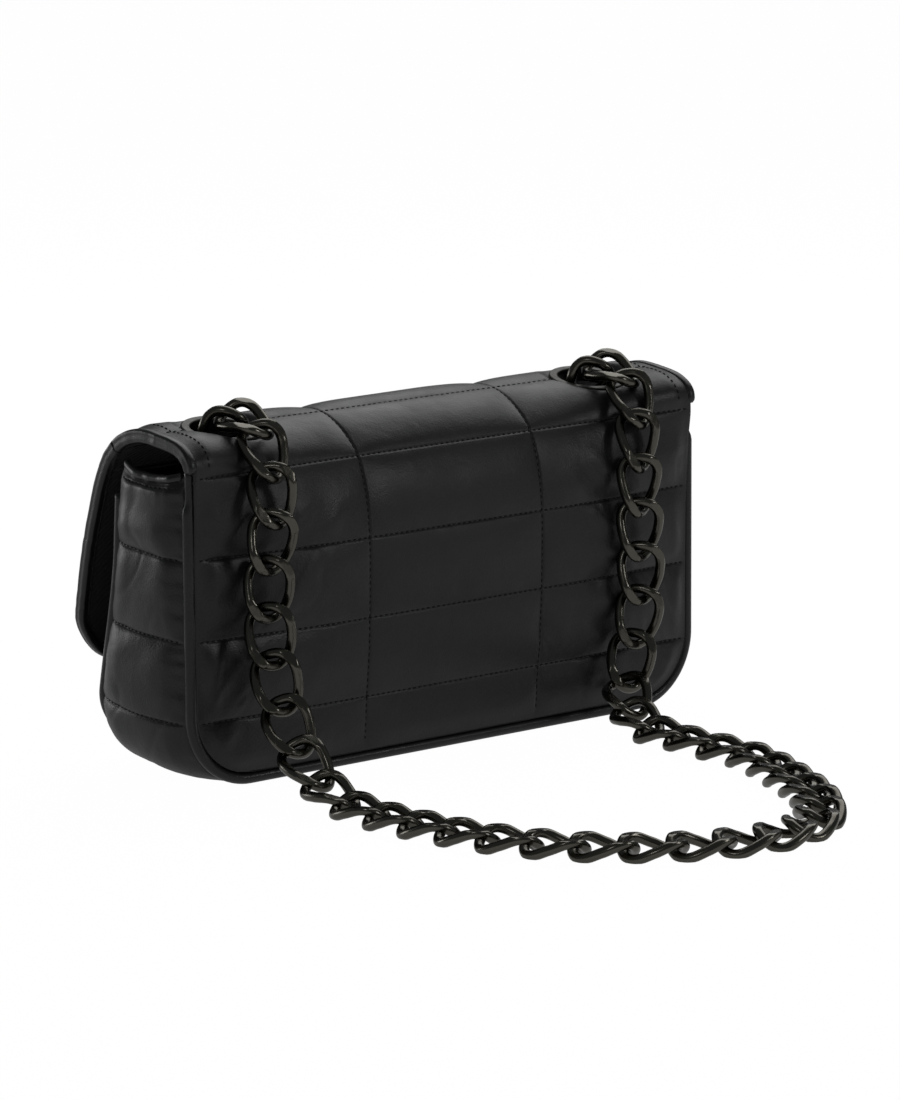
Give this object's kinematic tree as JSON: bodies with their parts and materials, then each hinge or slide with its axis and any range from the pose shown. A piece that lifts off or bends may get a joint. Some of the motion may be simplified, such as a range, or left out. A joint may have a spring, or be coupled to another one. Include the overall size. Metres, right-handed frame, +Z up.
{
  "type": "chain shoulder bag",
  "caption": "Small quilted leather shoulder bag with a fold-over flap, piped edges and a heavy dark curb chain that runs through two eyelets.",
  "frame": {"origin": "on the floor under the middle of the bag, at the base mount", "axes": "+X along the bag towards the end that the picture shows, +Y towards the bag's back and the laid chain, +Z up; the flap hangs on the side of -Y"},
  "size_m": [0.256, 0.2837, 0.1477],
  "materials": {
    "leather": "soft semi-matt black leather, padded and quilted",
    "trim": "smooth black leather for piping and bound edges",
    "lining": "black woven lining",
    "board": "grey stiffener board",
    "dark_metal": "black nickel over steel, satin with worn bright edges"
  },
  "bodies": {
    "bag": {"back_panel": "leather", "front_panel": "leather", "left_gusset": "leather", "base_strip": "leather", "right_gusset": "leather", "back_piping": "trim", "front_piping": "trim", "left_gusset_hem": "trim", "right_gusset_hem": "trim", "front_top_binding": "trim", "lining": "lining", "slip_pocket": "lining", "base_board": "board", "flap_root": "leather", "flap_root_lining": "lining", "flap_root_binding": "trim", "left_eyelet": "dark_metal", "left_eyelet_washer": "dark_metal", "right_eyelet": "dark_metal", "right_eyelet_washer": "dark_metal", "snap_socket": "dark_metal", "snap_socket_washer": "dark_metal", "left_eyelet_link": "dark_metal", "right_eyelet_link": "dark_metal", "inner_run_links": "dark_metal"},
    "flap_bend": {"flap_top": "leather", "flap_top_lining": "lining", "flap_top_binding": "trim"},
    "flap": {"flap_front": "leather", "flap_front_lining": "lining", "flap_front_binding": "trim", "snap_stud": "dark_metal", "snap_stud_washer": "dark_metal"},
    "strap": {"left_drop_links": "dark_metal", "left_floor_links": "dark_metal", "loop_end_links": "dark_metal", "right_floor_links": "dark_metal", "right_drop_links": "dark_metal"}
  },
  "joints": [
    {"name": "flap_hinge", "type": "hinge", "parent": "bag", "child": "flap_bend", "pos_m": [0, -0.01515, 0.13613], "axis": [-1, 0, 0], "range_deg": [0, 105]},
    {"name": "flap_fold", "type": "hinge", "parent": "flap_bend", "child": "flap", "pos_m": [0, -0.02705, 0.12855], "axis": [-1, 0, 0], "range_deg": [0, 63]},
    {"name": "strap_swing", "type": "hinge", "parent": "bag", "child": "strap", "pos_m": [0, 0.0088, 0.1416], "axis": [1, 0, 0], "range_deg": [0, 105]}
  ],
  "couplings": [
    {"joint": "flap_fold", "follows": "flap_hinge", "ratio": 0.6}
  ]
}
